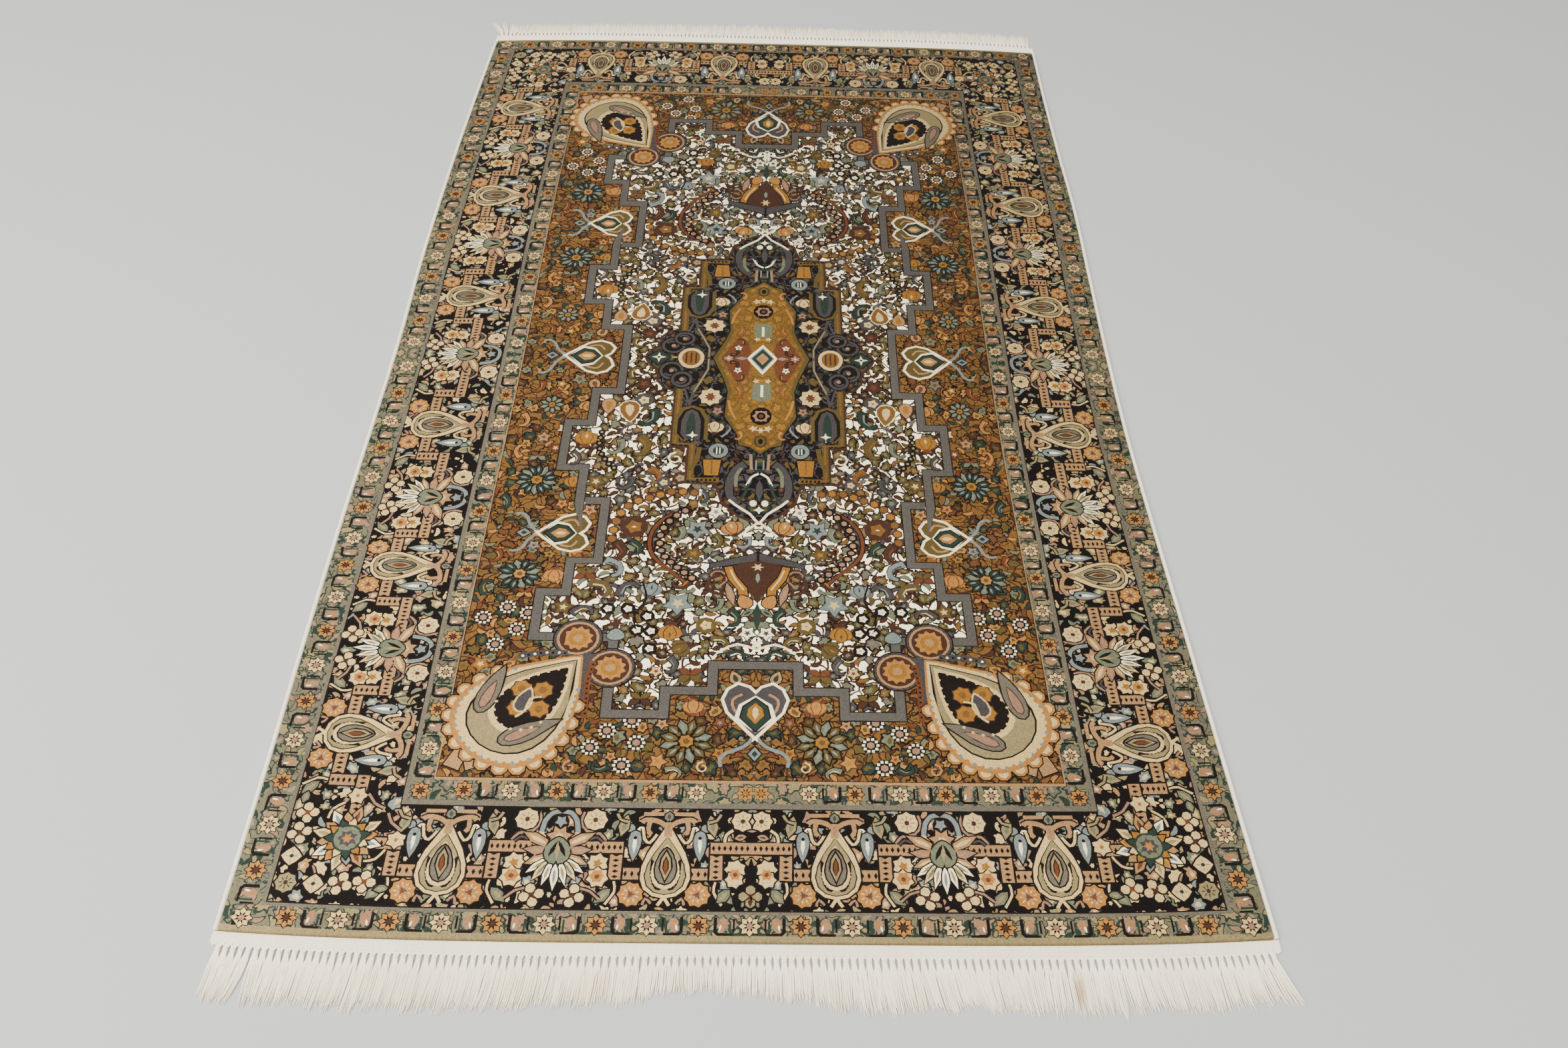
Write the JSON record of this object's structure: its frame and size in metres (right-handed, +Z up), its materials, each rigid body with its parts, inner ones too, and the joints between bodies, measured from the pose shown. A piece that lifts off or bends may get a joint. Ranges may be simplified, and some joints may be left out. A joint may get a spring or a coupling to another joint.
{
  "type": "silk rug",
  "caption": "Flat hand-knotted silk rug with a medallion in a bordered field, overcast long edges and knotted fringe at both ends.",
  "frame": {"origin": "centre of the rug's bounding box, on the floor that it lies on", "axes": "+X across the rug to the right, +Y along the rug from the near end to the far end, +Z up"},
  "size_m": [0.7804, 1.3794, 0.005],
  "materials": {
    "silk_pile": "short silk pile with a soft sheen, knotted pattern",
    "overcast_yarn": "off-white yarn wound over the edge",
    "warp_yarn": "off-white cotton and silk warps, flat woven and knotted"
  },
  "bodies": {
    "root": {"pile_cloth": "silk_pile", "edge_left": "overcast_yarn", "edge_right": "overcast_yarn", "fringe_near": "warp_yarn", "fringe_far": "warp_yarn"}
  },
  "joints": []
}
